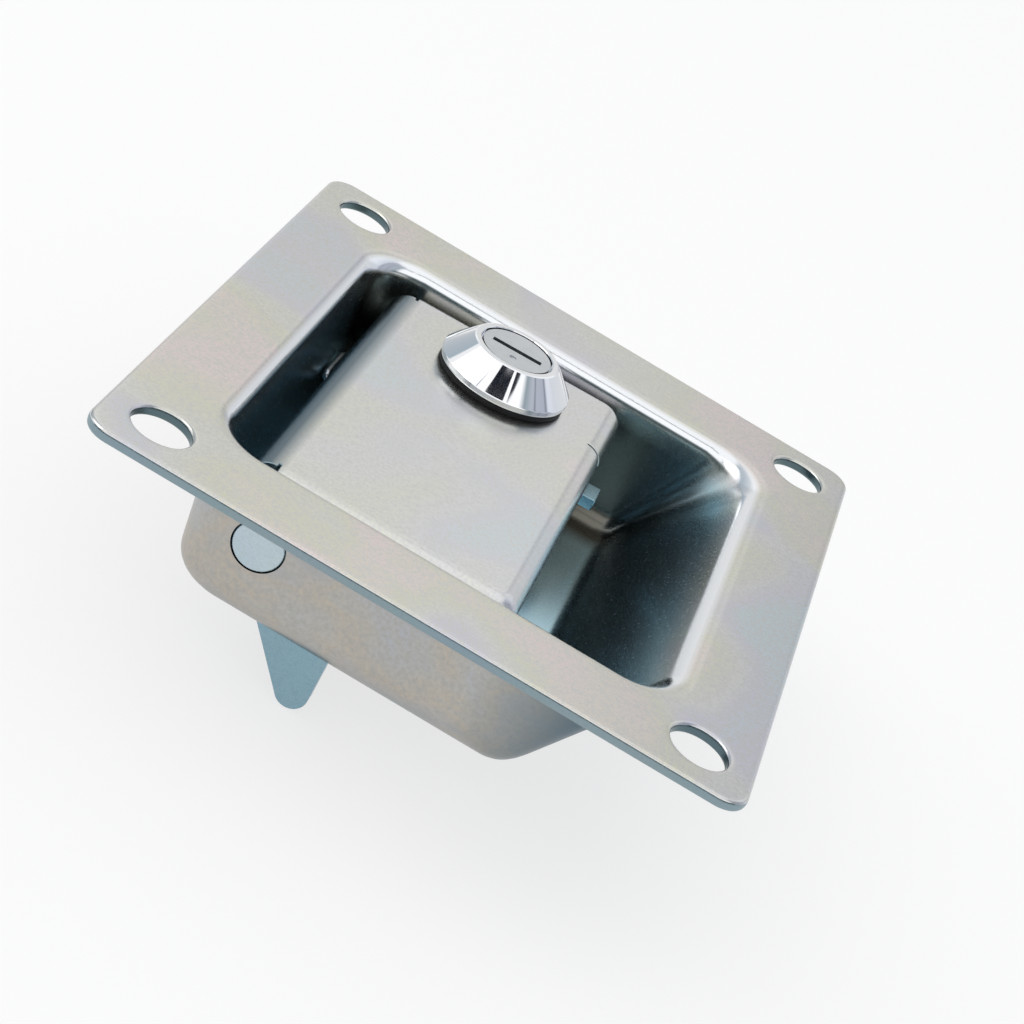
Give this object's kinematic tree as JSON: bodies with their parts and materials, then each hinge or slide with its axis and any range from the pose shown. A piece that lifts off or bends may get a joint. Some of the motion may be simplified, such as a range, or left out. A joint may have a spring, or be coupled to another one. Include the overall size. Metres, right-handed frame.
{
  "type": "recessed hook lock",
  "caption": "Recessed hook lock: a flanged dish with a flush key-locked paddle that swings a hook through the dish floor.",
  "frame": {"origin": "centre of the four fixing holes on the underside of the flange", "axes": "+Z out of the panel towards the user, +X from the pivot end to the finger scoop, +Y from the hook side to the key cylinder side"},
  "size_m": [0.125, 0.14, 0.0489],
  "materials": {
    "dish_zinc": "zinc-plated, satin, faint warm iridescence",
    "paddle_zinc": "zinc-plated, satin",
    "fitting_zinc": "zinc-plated, bluish",
    "spring_wire": "drawn wire",
    "bezel_chrome": "polished",
    "plug_satin": "satin nickel",
    "seal_rubber": "matt black",
    "wafer_brass": "bare brass"
  },
  "bodies": {
    "dish": {"dish_plate": "dish_zinc", "cam_keeper": "fitting_zinc", "keeper_rivets": "fitting_zinc"},
    "lever": {"paddle": "paddle_zinc", "pivot_pin": "fitting_zinc", "near_thrust_washer": "fitting_zinc", "far_thrust_washer": "fitting_zinc", "near_clip": "fitting_zinc", "far_clip": "fitting_zinc", "hook_blade": "fitting_zinc", "hook_rivets": "fitting_zinc", "return_spring": "spring_wire", "lock_housing": "bezel_chrome", "bezel_seal": "seal_rubber", "nut_washer": "fitting_zinc", "clamping_nut": "fitting_zinc"},
    "plug": {"key_plug": "plug_satin", "wafer_springs": "fitting_zinc", "turn_stop": "fitting_zinc", "cam": "fitting_zinc", "cam_washer": "fitting_zinc", "cam_screw": "fitting_zinc"},
    "wafers": {"wafer_1": "wafer_brass", "wafer_2": "wafer_brass", "wafer_3": "wafer_brass", "wafer_4": "wafer_brass"}
  },
  "joints": [
    {"name": "paddle_pivot", "type": "hinge", "parent": "dish", "child": "lever", "pos_m": [-0.029, 0, -0.0127], "axis": [0, -1, 0], "range_deg": [0, 40], "stiffness_Nm_per_rad": 0.6, "springref_deg": -28.65},
    {"name": "plug_turn", "type": "hinge", "parent": "lever", "child": "plug", "pos_m": [-0.00982, 0.0295, -0.00039], "axis": [-0.0262, 0, 0.9997], "range_deg": [-90, 0]},
    {"name": "wafer_travel", "type": "slide", "parent": "plug", "child": "wafers", "axis": [-0.9997, 0, -0.0262], "range_m": [0, 0.0005]}
  ]
}
